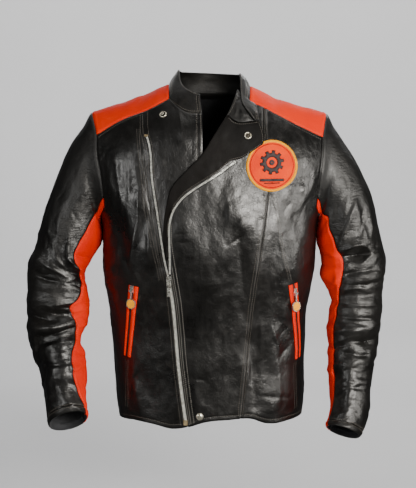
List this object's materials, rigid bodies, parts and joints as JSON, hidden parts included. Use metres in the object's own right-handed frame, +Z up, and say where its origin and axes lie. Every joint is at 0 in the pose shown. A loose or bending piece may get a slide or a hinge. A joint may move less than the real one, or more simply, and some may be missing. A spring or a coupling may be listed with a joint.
{
  "type": "leather motorcycle jacket",
  "caption": "Black leather motorcycle jacket in its worn, hollow shape, with an open lapel, orange shoulder yokes and under-sleeve strips, zips and slanted pockets.",
  "frame": {"origin": "middle of the neck base, inside the collar, where the wearer or a hanger carries the jacket", "axes": "+Z up, +X towards the wearer's left, -Y towards the front"},
  "size_m": [0.6992, 0.2743, 0.7079],
  "materials": {
    "leather_black": "semi-gloss, finely creased",
    "leather_matt": "matt",
    "leather_orange": "semi-gloss",
    "border_yellow": "matt, stitched",
    "enamel_yellow": "gloss enamel",
    "zip_metal": "satin",
    "snap_metal": "satin"
  },
  "bodies": {
    "jacket": {"front_right_side": "leather_black", "front_right_inner": "leather_black", "front_left_centre": "leather_black", "front_left_side": "leather_black", "back_panel": "leather_black", "yoke_right": "leather_orange", "yoke_left": "leather_orange", "sleeve_right": "leather_black", "sleeve_left": "leather_black", "sleeve_strip_right": "leather_orange", "sleeve_strip_left": "leather_orange", "lapel": "leather_matt", "collar": "leather_black", "collar_facing": "leather_black", "zip_closed": "zip_metal", "zip_half_right": "zip_metal", "zip_half_left": "zip_metal", "zip_box": "zip_metal", "zip_stop": "zip_metal", "zip_slider": "zip_metal", "pocket_welt_right_inner": "leather_orange", "pocket_welt_right_outer": "leather_orange", "pocket_welt_left_inner": "leather_orange", "pocket_welt_left_outer": "leather_orange", "pocket_zip_right": "zip_metal", "pocket_zip_left": "zip_metal", "pocket_slider_right": "zip_metal", "pocket_slider_left": "zip_metal", "badge": "leather_orange", "badge_border": "border_yellow", "snap_stud": "snap_metal", "snap_ring": "snap_metal", "snap_hem": "snap_metal"},
    "main_pull": {"zip_pull": "zip_metal"},
    "pocket_pull_right": {"pocket_pull_right": "zip_metal", "pocket_disc_right": "enamel_yellow"},
    "pocket_pull_left": {"pocket_pull_left": "zip_metal", "pocket_disc_left": "enamel_yellow"}
  },
  "joints": [
    {"name": "main_pull_swing", "type": "hinge", "parent": "jacket", "child": "main_pull", "pos_m": [-0.07741, -0.12329, -0.34646], "axis": [-0.9889, 0.1489, 0], "range_deg": [0, 150]},
    {"name": "pocket_pull_right_swing", "type": "hinge", "parent": "jacket", "child": "pocket_pull_right", "pos_m": [-0.14962, -0.09902, -0.36211], "axis": [-0.8908, 0.4544, 0], "range_deg": [0, 150]},
    {"name": "pocket_pull_left_swing", "type": "hinge", "parent": "jacket", "child": "pocket_pull_left", "pos_m": [0.16617, -0.08397, -0.36945], "axis": [-0.7778, -0.6285, 0], "range_deg": [0, 150]}
  ]
}
